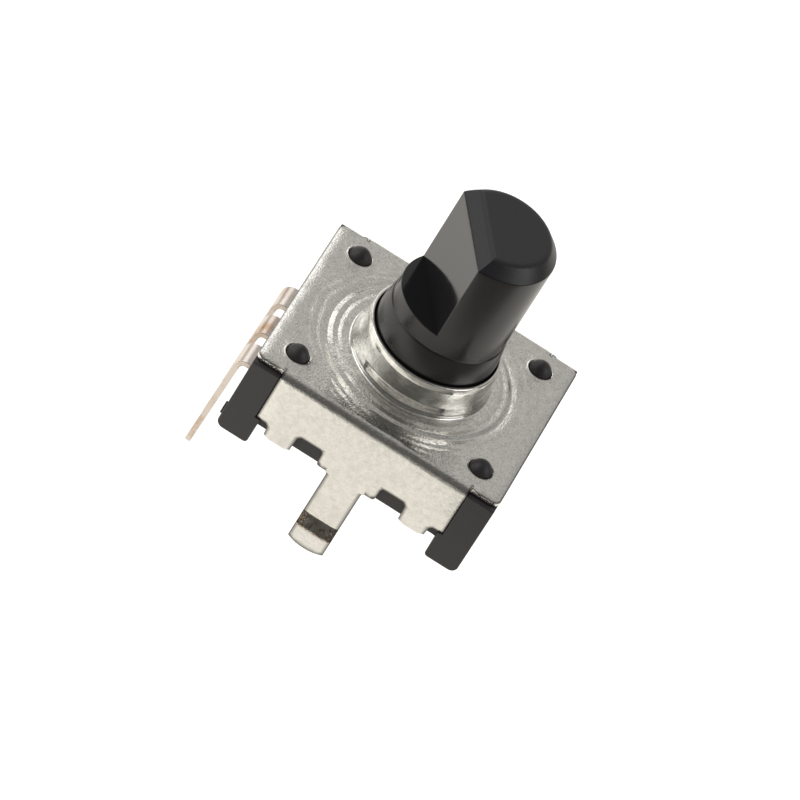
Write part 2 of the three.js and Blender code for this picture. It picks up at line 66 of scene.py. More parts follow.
AZIMUTH = math.radians(-0.45)
ELEVATION = math.radians(40.84)
LEAN = math.radians(32.46)
DISTANCE = 420 * MM
AIM = (0.162 * MM, 1.699 * MM)  # right and up of the frame's origin, across the view

back = Vector((
    math.sin(AZIMUTH) * math.cos(ELEVATION),
    -math.cos(AZIMUTH) * math.cos(ELEVATION),
    math.sin(ELEVATION),
))
right = Vector((math.cos(AZIMUTH), math.sin(AZIMUTH), 0))
up = back.cross(right)

lens = bpy.data.cameras.new("camera")
lens.sensor_width = 36
lens.lens = 389.6
lens.clip_start = 0.01
lens.clip_end = 10
camera = bpy.data.objects.new("camera", lens)
camera.matrix_world = (
    Matrix.Translation(AIM[0] * right + AIM[1] * up + DISTANCE * back)
    @ Matrix((right, up, back)).transposed().to_4x4()
    @ Matrix.Rotation(LEAN, 4, "Z")
)
bpy.context.scene.collection.objects.link(camera)
bpy.context.scene.camera = camera

# ---------------------------------------------------------------------------
# Cover. One blank of plated steel sheet, 0.33 mm thick: the collar is drawn up from
# its middle, the two flanges are folded down, and four tabs crimp under the housing.

SHEET = 0.33 * MM
plate_top = 4.97 * MM
plate_half = (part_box("cover")[1].x, 5.8 * MM)
flange_y = 6.12 * MM
flange_half = 5.25 * MM
RELIEF = 0.024 * MM  # width of the cut between a flange and the plate's corner
FLANGE_BEND = 0.47 * MM  # outer radius of the bend from the plate into a flange
TAB_BEND = 0.4 * MM  # outer radius of the bend into a tab
QUARTER = math.pi / 2
MERGE = 0.0005 * MM  # points nearer than this are one point


def rounded(corners, steps=6):
    """A polyline whose corners, given as (u, v, radius), are replaced by tangent arcs.
    Each arc's centre lies on the corner's bisector; its ends are radius / tan(half angle) away."""
    points = []
    corners = [(np.array(c[:2], float), c[2] if len(c) > 2 else 0) for c in corners]
    for i, (here, radius) in enumerate(corners):
        if not radius:
            points.append(here[None])
            continue
        before = corners[i - 1][0] - here
        after = corners[(i + 1) % len(corners)][0] - here
        before /= np.linalg.norm(before)
        after /= np.linalg.norm(after)
        half = math.acos(np.clip(before @ after, -1, 1)) / 2
        middle = (before + after) / np.linalg.norm(before + after)
        centre = here + middle * radius / math.sin(half)
        start = here + before * radius / math.tan(half) - centre
        end = here + after * radius / math.tan(half) - centre
        turn = np.linspace(0, 1, steps + 1)[:, None]
        sweep = math.pi - 2 * half
        arc = (start * np.sin((1 - turn) * sweep) + end * np.sin(turn * sweep)) / math.sin(sweep)
        points.append(centre + arc)
    return np.concatenate(points)


def resampled(loop, spacing):
    """A closed loop with points added so that no side is longer than the spacing."""
    after = np.roll(loop, -1, axis=0)
    counts = np.ceil(np.linalg.norm(after - loop, axis=1) / spacing).astype(int).clip(1)
    share = np.concatenate([np.arange(n) / n for n in counts])[:, None]
    return np.repeat(loop, counts, axis=0) * (1 - share) + np.repeat(after, counts, axis=0) * share


def circle(centre, radius, count):
    """Points evenly spaced round a circle, anticlockwise from its right."""
    angle = np.linspace(0, 2 * np.pi, count, endpoint=False)
    return np.c_[centre[0] + radius * np.cos(angle), centre[1] + radius * np.sin(angle)]


def inside(points, loop):
    """True for each point that a closed loop goes round: a ray to the right crosses the loop
    an odd number of times."""
    a, b = loop[None], np.roll(loop, -1, axis=0)[None]
    x, y = points[:, None, 0], points[:, None, 1]
    crosses = (a[..., 1] > y) != (b[..., 1] > y)
    rise = np.where(b[..., 1] == a[..., 1], 1, b[..., 1] - a[..., 1])
    at = a[..., 0] + (y - a[..., 1]) * (b[..., 0] - a[..., 0]) / rise
    return (crosses & (x < at)).sum(axis=1) % 2 == 1


def distance_to(points, loops):
    """How far each point is from the nearest side of any loop: its distance from the
    closest point of each side, which is its projection kept between the side's ends."""
    nearest = np.full(len(points), np.inf)
    for loop in loops:
        a, side = loop[None], (np.roll(loop, -1, axis=0) - loop)[None]
        for part in np.array_split(np.arange(len(points)), 20):
            away = points[part, None] - a
            share = ((away * side).sum(-1) / (side**2).sum(-1)).clip(0, 1)
            gap = np.linalg.norm(away - share[..., None] * side, axis=-1).min(axis=1)
            nearest[part] = np.minimum(nearest[part], gap)
    return nearest


def blank(outline, holes, columns, rows, steps, hole_steps):
    """A flat sheet's triangles, and each corner's distance from the sheet's edge. The corners are
    the outline and the holes, copies of them stepped inward, and the crossings of the columns
    and rows that lie farther from the edge than the last step."""
    loops = [outline, *holes]
    stepped = []
    for loop in loops:
        ahead = np.roll(loop, -1, axis=0) - np.roll(loop, 1, axis=0)
        inward = np.c_[-ahead[:, 1], ahead[:, 0]] / np.linalg.norm(ahead, axis=1)[:, None]
        turn = 1 if loop is outline else -1
        sizes = steps if loop is outline else hole_steps
        stepped += [(loop + turn * size * inward, size) for size in sizes]
    grid = np.stack(np.meshgrid(columns, rows), axis=-1).reshape(-1, 2)
    candidates = [(grid, steps[-1] * 1.25)] + stepped
    kept = []
    for group, least in candidates:
        keep = inside(group, outline)
        for hole in holes:
            keep &= ~inside(group, hole)
        group = group[keep]
        kept.append(group[distance_to(group, loops) > least * 0.97])
    points = np.concatenate(loops + kept)
    sides = []
    first = 0
    for loop in loops:
        turn = np.arange(len(loop))
        sides.append(np.c_[turn, (turn + 1) % len(loop)] + first)
        first += len(loop)
    sides = np.concatenate(sides)
    # The triangulation works best on numbers near one, so it is given millimetres.
    made = delaunay_2d_cdt([Vector(p) for p in points / MM], sides.tolist(), [], 0, 1e-6)
    points = np.array([tuple(p) for p in made[0]]) * MM
    triangles = np.array(made[2])
    middles = points[triangles].mean(axis=1)
    keep = inside(middles, outline)
    for hole in holes:
        keep &= ~inside(middles, hole)
    triangles = triangles[keep]
    a, b, c = (points[triangles[:, k]] for k in range(3))
    area = (b - a)[:, 0] * (c - a)[:, 1] - (b - a)[:, 1] * (c - a)[:, 0]
    triangles[area < 0] = triangles[area < 0][:, ::-1]
    return points, triangles, distance_to(points, loops)


def sheet_solid(triangles, outer, inner, edge):
    """Joins a sheet's outer and inner faces with a wall along every side that only one
    triangle uses. The wall has two rows of points, an eighth of the way in from each face.
    Returns the points, the faces, and each point's weight of painted shade along the cut edges,
    which is 0 on those two rows."""
    sides = np.concatenate([triangles[:, [0, 1]], triangles[:, [1, 2]], triangles[:, [2, 0]]])
    _, index, counts = np.unique(
        np.sort(sides, axis=1), axis=0, return_inverse=True, return_counts=True
    )
    rim = sides[counts[index.ravel()] == 1]
    used, place = np.unique(rim, return_inverse=True)
    count = len(outer)
    upper = place.reshape(rim.shape) + 2 * count
    rows = [rim, upper, upper + len(used), rim + count]
    wall = [np.c_[a[:, 1], a[:, 0], b[:, 0], b[:, 1]] for a, b in zip(rows, rows[1:])]
    faces = [*triangles, *(triangles[:, ::-1] + count), *np.concatenate(wall)]
    near = [outer[used] + share * (inner[used] - outer[used]) for share in (1 / 8, 7 / 8)]
    mark = np.concatenate([edge, edge, np.zeros(2 * len(used))])
    return np.concatenate([outer, inner, *near]), [face.tolist() for face in faces], mark


def along(distance, places, slopes, reach):
    """Where a sheet that is bent about parallel lines goes, against distance along it.
    The slope runs evenly between the places given, and the path is the sum of its steps."""
    fine = np.linspace(0, reach, 8001)
    slope = np.interp(fine, places, slopes)
    step = fine[1] - fine[0]
    out = np.concatenate([[0], np.cumsum(np.cos((slope[1:] + slope[:-1]) / 2)) * step])
    down = np.concatenate([[0], np.cumsum(np.sin((slope[1:] + slope[:-1]) / 2)) * step])
    return (
        np.interp(distance, fine, out),
        np.interp(distance, fine, down),
        np.interp(distance, places, slopes),
    )


def build(name, points, faces, material, smooth_below, bevel, segments=2, skin=None):
    """A mesh object with one material and sharp edges above an angle in degrees. A bevel rounds
    the sharp edges that stand out, and leaves the ones between two faces of an inner corner.
    Where a skin is given, it says from an edge's middle whether the edge is bevelled at all."""
    mesh = bpy.data.meshes.new(name)
    mesh.from_pydata(points.tolist(), [], faces)
    mesh.validate()
    mesh.polygons.foreach_set("use_smooth", np.ones(len(mesh.polygons), bool))
    mesh.set_sharp_from_angle(angle=math.radians(smooth_below))
    mesh.materials.append(material)
    made = bpy.data.objects.new(name, mesh)
    bpy.context.scene.collection.objects.link(made)
    work = bmesh.new()
    work.from_mesh(mesh)
    weight = work.edges.layers.float.new("bevel_weight_edge")
    for side in work.edges:
        if side.is_convex and side.calc_face_angle(0) > math.radians(smooth_below):
            if skin is None or skin((side.verts[0].co + side.verts[1].co) / 2):
                side[weight] = 1
    work.to_mesh(mesh)
    work.free()
    edge = made.modifiers.new("edges", "BEVEL")
    edge.width = bevel
    edge.segments = segments
    edge.limit_method = "WEIGHT"
    edge.harden_normals = True
    edge.use_clamp_overlap = False
    return made


# Distances along the sheet, from the middle of the plate out over a flange.
bend_start = flange_y - FLANGE_BEND
bend_end = bend_start + (FLANGE_BEND - SHEET / 2) * QUARTER
bend_low = plate_top - FLANGE_BEND  # height where the flange's flat web starts


def web(height):
    """Distance along the sheet of a height on the flange's flat web."""
    return bend_end + bend_low - height


tab_bend = web(0.75 * MM + TAB_BEND)
tab_flat = tab_bend + (TAB_BEND - SHEET / 2) * QUARTER
tab_end = tab_flat + 0.9 * MM
KINK = 0.2 * MM  # radius of the snap leg's kinks, to the middle of the sheet
kink_out = math.radians(39.8)  # 0.5 mm out over a drop of 0.6 mm
kink_back = math.radians(58.0)
leg_lean = QUARTER - kink_out + kink_back
kink_top = web(-1.7 * MM) - KINK * math.tan(kink_out / 2)
kink_low = (
    kink_top + KINK * kink_out
    + 0.781 * MM - KINK * (math.tan(kink_out / 2) + math.tan(kink_back / 2))
)
leg_low = kink_low + KINK * kink_back
leg_end = leg_low + 1.60 * MM - KINK * math.tan(kink_back / 2)

# Places along the sheet, and the slope there. The last place is past the end of every strip.
FLAT_PATH = ([0, 1], [0, 0])
TAB_PATH = (
    [0, bend_start, bend_end, tab_bend, tab_flat, 1],
    [0, 0, QUARTER, QUARTER, math.pi, math.pi],
)
LEG_PATH = (
    [0, bend_start, bend_end, kink_top, kink_top + KINK * kink_out, kink_low, leg_low, 1],
    [0, 0, QUARTER, QUARTER, QUARTER - kink_out, QUARTER - kink_out, leg_lean, leg_lean],
)
LEG_COLUMN = 1.8 * MM  # the sheet this near the middle belongs to the leg


def folded(flat, depth):
    """The blank's points (x, v) after folding, each at its depth below the outer face. Distance |v|
    along the sheet is carried along the flange's bend and then the tab's or the leg's."""
    x, v = flat[:, 0], flat[:, 1]
    side, distance = np.sign(v), abs(v)
    made = np.zeros((len(flat), 3))
    mid_relief = flange_half + RELIEF / 2
    columns = (
        (abs(x) > mid_relief, FLAT_PATH),
        ((abs(x) <= mid_relief) & (abs(x) > LEG_COLUMN), TAB_PATH),
        (abs(x) <= LEG_COLUMN, LEG_PATH),
    )
    for chosen, (places, slopes) in columns:
        out, down, slope = along(distance[chosen], places, slopes, 16 * MM)
        lift = SHEET / 2 - depth[chosen]
        made[chosen, 0] = x[chosen]
        made[chosen, 1] = side[chosen] * (out + lift * np.sin(slope))
        made[chosen, 2] = plate_top - SHEET / 2 - down + lift * np.cos(slope)
    return made


def mirrored(quarter):
    """A closed outline from the corner points of its front right quarter, listed from the
    right-hand side round to the front middle. Each quarter is the last one's mirror image."""
    front = quarter + [(-c[0], c[1], *c[2:]) for c in quarter[::-1]]
    return front + [(c[0], -c[1], *c[2:]) for c in front[::-1]]


leg_half = 0.98 * MM
tip_sag = 0.36 * MM
tip_round = (leg_half**2 + tip_sag**2) / (2 * tip_sag)
tip_angles = np.linspace(math.asin(leg_half / tip_round), 0.08, 7)
tip = [(tip_round * math.sin(a), -(leg_end - tip_round * (1 - math.cos(a)))) for a in tip_angles]
cover_quarter = [
    (plate_half[0], -plate_half[1], 0.42 * MM),
    (flange_half + RELIEF, -plate_half[1], 0.05 * MM),
    (flange_half + RELIEF, -plate_half[1] + 0.16 * MM),
    (flange_half, -plate_half[1] + 0.16 * MM),
    (flange_half, -web(1.74 * MM), 0.12 * MM),
    (4.58 * MM, -web(1.70 * MM), 0.28 * MM),
    (4.44 * MM, -tab_end, 0.1 * MM),
    (3.12 * MM, -tab_end, 0.1 * MM),
    (3.03 * MM, -web(2.1 * MM), 0.26 * MM),
    (1.66 * MM, -web(2.1 * MM), 0.2 * MM),
    (1.62 * MM, -web(1.17 * MM), 0.15 * MM),
    (leg_half, -web(1.15 * MM), 0.2 * MM),
    *tip,
]
outline = resampled(rounded(mirrored(cover_quarter)), 0.12 * MM)
drawn_r = 5.3 * MM
ROUND = 144  # points round the shaft, the collar and the other large rounds
stake_at = (5.16 * MM, 4.28 * MM)
holes = [circle((0, 0), drawn_r, ROUND)] + [
    circle((sx * stake_at[0], sy * stake_at[1]), 0.6 * MM, 48) for sx in (-1, 1) for sy in (-1, 1)
]


def sheet_rows():
    """Distances along the sheet: 0.4 mm apart on the flats and 0.05 mm apart in every bend."""
    wide = np.arange(0.2, 14, 0.4) * MM
    bends = [
        (bend_start, bend_end),
        (tab_bend, tab_flat),
        (kink_top, kink_top + KINK * kink_out),
        (kink_low, leg_low),
    ]
    fine = [np.arange(a - 0.02 * MM, b + 0.04 * MM, 0.05 * MM) for a, b in bends]
    rows = np.unique(np.concatenate([wide, *fine]).round(7))
    return np.concatenate([-rows[::-1], rows])


columns = np.arange(-6.6, 6.7, 0.4) * MM
edge_steps = np.array([0.012, 0.03, 0.06, 0.1]) * MM
hole_steps = np.array([0.012, 0.035, 0.07, 0.105, 0.14]) * MM
flat, triangles, gap = blank(outline, holes, columns, sheet_rows(), edge_steps, hole_steps)
# The punch rolls the outer face's edges over, less at a hole or a relief cut than elsewhere,
# and leaves the inner face's edges nearly sharp. The collar's ring is joined to its section, so
# it isn't rolled.
near = 0.2 * MM
at_collar = abs(np.linalg.norm(flat, axis=1) - drawn_r) < near
at_stake = np.linalg.norm(abs(flat) - stake_at, axis=1) < 0.8 * MM
across, beyond = abs(flat[:, 0]), abs(flat[:, 1])
at_slot = (abs(across - flange_half) < near) & (beyond > bend_start - near) & (beyond < bend_end)
roll = np.where(at_collar, 0, np.where(at_stake, 0.04, np.where(at_slot, 0.02, 0.1))) * MM
burr = np.where(at_collar, 0, 0.03) * MM
# Pressing a stake home raises a low lip, 0.025 mm high, round its hole.
lip = np.where(at_stake, 0.025 * MM * np.exp(-(((gap / MM - 0.07) / 0.033) ** 2)), 0)


def rolled(radius, gap):
    """How far a quarter-round edge drops at a distance in from the edge."""
    short = (radius - gap).clip(0, None)
    return radius - np.sqrt((radius**2 - short**2).clip(0, None))


# Painted shade along the cut edges: a weight, 1 at each edge and 0 from 0.1 mm in, that darkens the
# metal there; none at the collar or round the stakes.
edge_shade = np.where(at_collar | at_stake, 0, (1 - gap / (0.1 * MM)).clip(0, 1))
outer = folded(flat, rolled(roll, gap) - lip)
inner = folded(flat, SHEET - rolled(burr, gap))
cover_points, cover_faces, cover_edge_shade = sheet_solid(triangles, outer, inner, edge_shade)


def turned(profile, count):
    """An open profile of (radius, height) points carried round the Z axis, one ring for each."""
    angle = np.linspace(0, 2 * np.pi, count, endpoint=False)
    r, z = profile[:, 0, None], profile[:, 1, None]
    points = np.stack([r * np.cos(angle), r * np.sin(angle), z + 0 * angle], axis=-1).reshape(-1, 3)
    i = np.arange(len(profile) - 1)[:, None]
    j = np.arange(count)[None]
    a, b = i * count + j, i * count + (j + 1) % count
    return points, np.stack([a, b, b + count, a + count], axis=-1).reshape(-1, 4)


step_top = plate_top + 0.09 * MM
collar_top = 7.0 * MM
under = plate_top - SHEET
collar_corners = [
    (drawn_r, under),
    (3.27 * MM, under, 0.42 * MM),
    (3.27 * MM, collar_top, 0.05 * MM),
    (3.45 * MM, collar_top, 0.09 * MM),
    (3.51 * MM, 6.7 * MM, 0.6 * MM),
    (3.53 * MM, 5.7 * MM, 0.5 * MM),
    (3.65 * MM, 5.34 * MM, 0.1 * MM),
    (3.68 * MM, 5.28 * MM, 0.03 * MM),
    (3.66 * MM, 5.23 * MM, 0.03 * MM),
    (3.69 * MM, step_top, 0.14 * MM),
    (4.16 * MM, step_top, 0.22 * MM),
    (4.36 * MM, step_top - 0.06 * MM, 0.18 * MM),
    (4.62 * MM, step_top - 0.03 * MM, 0.18 * MM),
    (4.86 * MM, plate_top - 0.05 * MM, 0.18 * MM),
    (5.10 * MM, plate_top, 0.22 * MM),
    (drawn_r, plate_top),
]
section = rounded(collar_corners, 8)
collar_points, collar_quads = turned(section, ROUND)
collar_quads = collar_quads[:, ::-1]


def hex_colour(code):
    """An sRGB colour, written as six hex digits, in linear light."""
    value = np.array([int(code[i:i + 2], 16) for i in (0, 2, 4)]) / 255
    linear = np.where(value <= 0.04045, value / 12.92, ((value + 0.055) / 1.055) ** 2.4)
    return (*linear, 1.0)


def add(tree, kind, values=None, links=None, out=0, **settings):
    """One shader node, with its settings, its sockets' values and the sockets that feed it.
    Returns the output asked for, or the node itself where that is None."""
    made = tree.nodes.new(kind)
    for name, value in settings.items():
        setattr(made, name, value)
    for socket, value in (values or {}).items():
        made.inputs[socket].default_value = value
    for socket, source in (links or {}).items():
        tree.links.new(source, made.inputs[socket])
    return made if out is None else made.outputs[out]


def per_mm(size):
    """A texture scale whose pattern repeats about once in a size given in millimetres."""
    return 1 / (size * MM)


def new_material(name):
    """An empty node material, with its shader and the object coordinates that patterns read."""
    made = bpy.data.materials.new(name)
    made.use_nodes = True
    tree = made.node_tree
    tree.nodes.clear()
    shader = add(tree, "ShaderNodeBsdfPrincipled", out=None)
    add(tree, "ShaderNodeOutputMaterial", links={"Surface": shader.outputs["BSDF"]}, out=None)
    place = add(tree, "ShaderNodeTexCoord", out="Object")
    return made, tree, shader, place


def plated_steel():
    """Nickel-plated cold-rolled steel, drawn and tumbled: a bright mirror broken up by an
    orange-peel grain a tenth of a millimetre across and waves a millimetre or two across,
    rings round the drawn collar, and painted shade that darkens the metal along each cut edge."""
    made, tree, shader, place = new_material("plated cold-rolled steel")
    grain = add(tree, "ShaderNodeTexNoise",
                {"Scale": per_mm(0.09), "Detail": 2.0, "Roughness": 0.6}, {"Vector": place})
    dent = add(tree, "ShaderNodeTexNoise", {"Scale": per_mm(0.55), "Detail": 2.0},
               {"Vector": place})
    wave = add(tree, "ShaderNodeTexNoise", {"Scale": per_mm(2.4), "Detail": 1.0}, {"Vector": place})
    flat_place = add(tree, "ShaderNodeVectorMath", {1: (1, 1, 0)}, {0: place}, operation="MULTIPLY")
    radius = add(tree, "ShaderNodeVectorMath", links={0: flat_place}, out="Value",
                 operation="LENGTH")
    height = add(tree, "ShaderNodeSeparateXYZ", links={0: place}, out="Z")
    # Distance over the drawn section: out across the plate and up the collar.
    section = add(tree, "ShaderNodeMath", links={0: radius, 1: height}, operation="SUBTRACT")
    ring = add(tree, "ShaderNodeTexNoise", {"Scale": per_mm(0.42), "Detail": 3.0, "Roughness": 0.6},
               {"W": section}, noise_dimensions="1D")
    near = add(tree, "ShaderNodeMapRange",
               {"From Min": 4.6 * MM, "From Max": 6.6 * MM, "To Min": 1.0, "To Max": 0.0},
               {"Value": radius}, interpolation_type="SMOOTHSTEP")
    ringed = add(tree, "ShaderNodeMath", links={0: ring, 1: near}, operation="MULTIPLY")
    on_plate = add(tree, "ShaderNodeMapRange",
                   {"From Min": 3.66 * MM, "From Max": 3.9 * MM, "To Min": 0.3}, {"Value": radius})
    ringed = add(tree, "ShaderNodeMath", links={0: ringed, 1: on_plate}, operation="MULTIPLY")
    # Round the drawn middle the plate is left in shallow rings 0.45 mm apart, not quite even.
    phase = add(tree, "ShaderNodeMath", {1: 0.5 * MM}, {0: wave, 2: radius},
                operation="MULTIPLY_ADD")
    turn = add(tree, "ShaderNodeMath", {1: 2 * math.pi * per_mm(0.45)}, {0: phase},
               operation="MULTIPLY")
    swell = add(tree, "ShaderNodeMath", links={0: turn}, operation="SINE")
    beyond = add(tree, "ShaderNodeMapRange", {"From Min": 4.9 * MM, "From Max": 5.3 * MM},
                 {"Value": radius}, interpolation_type="SMOOTHSTEP")
    swell = add(tree, "ShaderNodeMath", links={0: swell, 1: near}, operation="MULTIPLY")
    swell = add(tree, "ShaderNodeMath", links={0: swell, 1: beyond}, operation="MULTIPLY")
    # The draw punch has smoothed the collar, so the grain is fainter there.
    skin = add(tree, "ShaderNodeMath", links={0: grain, 1: on_plate}, operation="MULTIPLY")
    relief = None
    for depth, source in ((0.019, skin), (0.02, dent), (0.13, wave),
                          (0.018, ringed), (0.012, swell)):
        links = {0: source} if relief is None else {0: source, 2: relief}
        relief = add(tree, "ShaderNodeMath", {1: depth * MM, 2: 0.0}, links,
                     operation="MULTIPLY_ADD")
    bump = add(tree, "ShaderNodeBump", {"Strength": 1.0, "Distance": 1.0}, {"Height": relief})
    mottle = add(tree, "ShaderNodeTexNoise",
                 {"Scale": per_mm(0.3), "Detail": 5.0, "Roughness": 0.7}, {"Vector": place})
    tint = add(tree, "ShaderNodeValToRGB", links={"Fac": mottle})
    ramp = tint.node.color_ramp.elements
    ramp[0].position = 0.32
    ramp[0].color = hex_colour("dbd9d3")
    ramp[1].position = 0.62
    ramp[1].color = hex_colour("edebe6")
    # Painted shade: the metal is darkened towards a dull grey along each cut edge, by the weight
    # that each point carries.
    mark = add(tree, "ShaderNodeAttribute", out="Fac", attribute_name="edge_shade")
    edge_shading = add(tree, "ShaderNodeMapRange",
               {"From Min": 0.45, "From Max": 0.95, "To Min": 0.0, "To Max": 0.95}, {"Value": mark})
    body = add(tree, "ShaderNodeMix", {7: hex_colour("5c5a58")}, {0: edge_shading, 6: tint}, 2,
               data_type="RGBA")
    # Dark specks pit the plate's top, where the draw stretched the plating.
    pit = add(tree, "ShaderNodeMapRange",
              {"From Min": 0.53, "From Max": 0.66, "To Min": 0.0, "To Max": 0.42}, {"Value": grain})
    on_top = add(tree, "ShaderNodeMapRange", {"From Min": 4.85 * MM, "From Max": 4.95 * MM},
                 {"Value": height})
    pitted = add(tree, "ShaderNodeMath", links={0: pit, 1: on_top}, operation="MULTIPLY")
    pitted = add(tree, "ShaderNodeMath", links={0: pitted, 1: on_plate}, operation="MULTIPLY")
    body = add(tree, "ShaderNodeMix", {7: hex_colour("8e8c88")}, {0: pitted, 6: body}, 2,
               data_type="RGBA")
    # Each leg's slope is rubbed where it snaps through the board, and browned between the rubs.
    slope = add(tree, "ShaderNodeMapRange", {"From Min": -1.6 * MM, "From Max": -1.75 * MM},
                {"Value": height})
    slope_end = add(tree, "ShaderNodeMapRange", {"From Min": -2.35 * MM, "From Max": -2.25 * MM},
                    {"Value": height})
    rub = add(tree, "ShaderNodeMapRange",
              {"From Min": 0.4, "From Max": 0.6, "To Min": 0.1, "To Max": 1.0}, {"Value": mottle})
    brown = add(tree, "ShaderNodeMath", links={0: slope, 1: slope_end}, operation="MULTIPLY")
    brown = add(tree, "ShaderNodeMath", links={0: brown, 1: rub}, operation="MULTIPLY")
    body = add(tree, "ShaderNodeMix", {7: hex_colour("b39a80")}, {0: brown, 6: body}, 2,
               data_type="RGBA")
    # Grease and wear dust lie on the collar's rim, where the shaft turns.
    inner = add(tree, "ShaderNodeMapRange",
                {"From Min": 3.29 * MM, "From Max": 3.34 * MM, "To Min": 1.0, "To Max": 0.0},
                {"Value": radius})
    high = add(tree, "ShaderNodeMapRange", {"From Min": 6.6 * MM, "From Max": 6.9 * MM},
               {"Value": height})
    dust = add(tree, "ShaderNodeMath", links={0: inner, 1: high}, operation="MULTIPLY")
    body = add(tree, "ShaderNodeMix", {7: hex_colour("4a2f1c")}, {0: dust, 6: body}, 2,
               data_type="RGBA")
    gloss = add(tree, "ShaderNodeMapRange", {"To Min": 0.10, "To Max": 0.20}, {"Value": dent})
    rough = add(tree, "ShaderNodeMath", {1: 0.4}, {0: dust, 2: gloss}, operation="MULTIPLY_ADD")
    shader.inputs["Metallic"].default_value = 1.0
    tree.links.new(body, shader.inputs["Base Color"])
    tree.links.new(rough, shader.inputs["Roughness"])
    tree.links.new(bump, shader.inputs["Normal"])
    return made


steel = plated_steel()


def weld(points, faces, mark):
    """Joins the points that lie on each other, and drops the wall that stands inside the
    sheet where the collar's section meets the blank's ring."""
    work = bmesh.new()
    # Each point keeps its weight of painted edge shade.
    layer = work.verts.layers.float.new("edge_shade")
    made = [work.verts.new(p) for p in points]
    for vertex, value in zip(made, mark):
        vertex[layer] = value
    for face in faces:
        work.faces.new([made[i] for i in face])
    on_ring = {v for v in work.verts if abs(v.co.xy.length - drawn_r) < 0.01 * MM}
    wall = [f for f in work.faces if len(f.verts) == 4 and all(v in on_ring for v in f.verts)]
    bmesh.ops.delete(work, geom=wall, context="FACES")
    bmesh.ops.remove_doubles(work, verts=work.verts, dist=MERGE)
    bmesh.ops.delete(work, geom=[v for v in work.verts if not v.link_faces], context="VERTS")
    bmesh.ops.recalc_face_normals(work, faces=work.faces)
    return work


# The collar's points carry no painted edge shade.
work = weld(
    np.concatenate([cover_points, collar_points]),
    cover_faces + (collar_quads + len(cover_points)).tolist(),
    np.concatenate([cover_edge_shade, np.zeros(len(collar_points))]),
)
mesh = bpy.data.meshes.new("cover_sheet")
work.to_mesh(mesh)
work.free()
mesh.polygons.foreach_set("use_smooth", np.ones(len(mesh.polygons), bool))
mesh.set_sharp_from_angle(angle=math.radians(50))
mesh.materials.append(steel)
cover = bpy.data.objects.new("cover_sheet", mesh)
bpy.context.scene.collection.objects.link(cover)
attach(cover, "frame")
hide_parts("cover")

# ---------------------------------------------------------------------------
# Shaft. One black moulding with a glossy skin: a round journal in the collar, a D above
# it whose flat ends in a ledge, and a chamfer round the top.

shaft_r = 3.0 * MM
flat_offset = 1.5 * MM
flat_azimuth = math.radians(210)
shaft_foot, shaft_top = (corner.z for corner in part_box("shaft"))


def d_outline(radius, offset, arc_count=120, chord_count=40):
    """A D: an arc of the radius, then the chord at the offset from the axis. An offset as
    long as the radius gives the whole circle, with the chord's points on the missing arc."""
    whole = offset >= radius
    corner = math.acos(flat_offset / shaft_r) if whole else math.acos(offset / radius)
    arc = np.linspace(corner, 2 * np.pi - corner, arc_count)
    chord = np.linspace(-corner, corner, chord_count + 2)[1:-1]
    if whole:
        along_chord = np.c_[radius * np.cos(chord), radius * np.sin(chord)]
    else:
        across = np.linspace(-1, 1, chord_count + 2)[1:-1] * radius * math.sin(corner)
        along_chord = np.c_[0 * across + offset, across]
    made = np.concatenate([np.c_[radius * np.cos(arc), radius * np.sin(arc)], along_chord])
    cos, sin = math.cos(flat_azimuth), math.sin(flat_azimuth)
    return np.c_[made[:, 0] * cos - made[:, 1] * sin, made[:, 0] * sin + made[:, 1] * cos]


def stacked(rings):
    """Rings of equal count, joined by quads from the lowest up, with a face across each end."""
    count = len(rings[0])
    i = np.arange(len(rings) - 1)[:, None]
    j = np.arange(count)[None]
    a, b = i * count + j, i * count + (j + 1) % count
    quads = np.stack([a, b, b + count, a + count], axis=-1).reshape(-1, 4)
    last = (len(rings) - 1) * count
    ends = [list(range(count))[::-1], list(range(last, last + count))]
    return np.concatenate(rings), quads.tolist() + ends


def ring(radius, height, offset=None):
    """One D at a height, or a whole circle where no offset is given."""
    outline = d_outline(radius, radius if offset is None else offset)
    return np.c_[outline, np.full(len(outline), height)]


pivot_r, key_r, journal_r = 1.45 * MM, 1.58 * MM, 3.2 * MM
key_low, key_high = 2.62 * MM, 4.27 * MM
ledge = 9.5 * MM
shaft_rings = [
    ring(pivot_r, shaft_foot),
    ring(pivot_r, key_low),
    ring(key_r, key_low),
    ring(key_r, key_high),
    ring(journal_r, key_high),
    ring(journal_r, 7.3 * MM),
    ring(3.06 * MM, 8.47 * MM),
    ring(3.05 * MM, 8.49 * MM),
    ring(3.0 * MM, 8.54 * MM),
    ring(shaft_r, ledge),
    ring(shaft_r, ledge, flat_offset),
]
# The chamfer, as (inward, down) from the top corner, meets the sides in a small round and the
# top in a large one.
chamfer = rounded([(0, 1.0, 0), (0, 0.7, 0.12), (0.58, 0.0, 0.45), (1.0, 0.0, 0)], 8) * MM
shaft_rings += [ring(shaft_r - d, shaft_top - down, flat_offset - d) for d, down in chamfer]


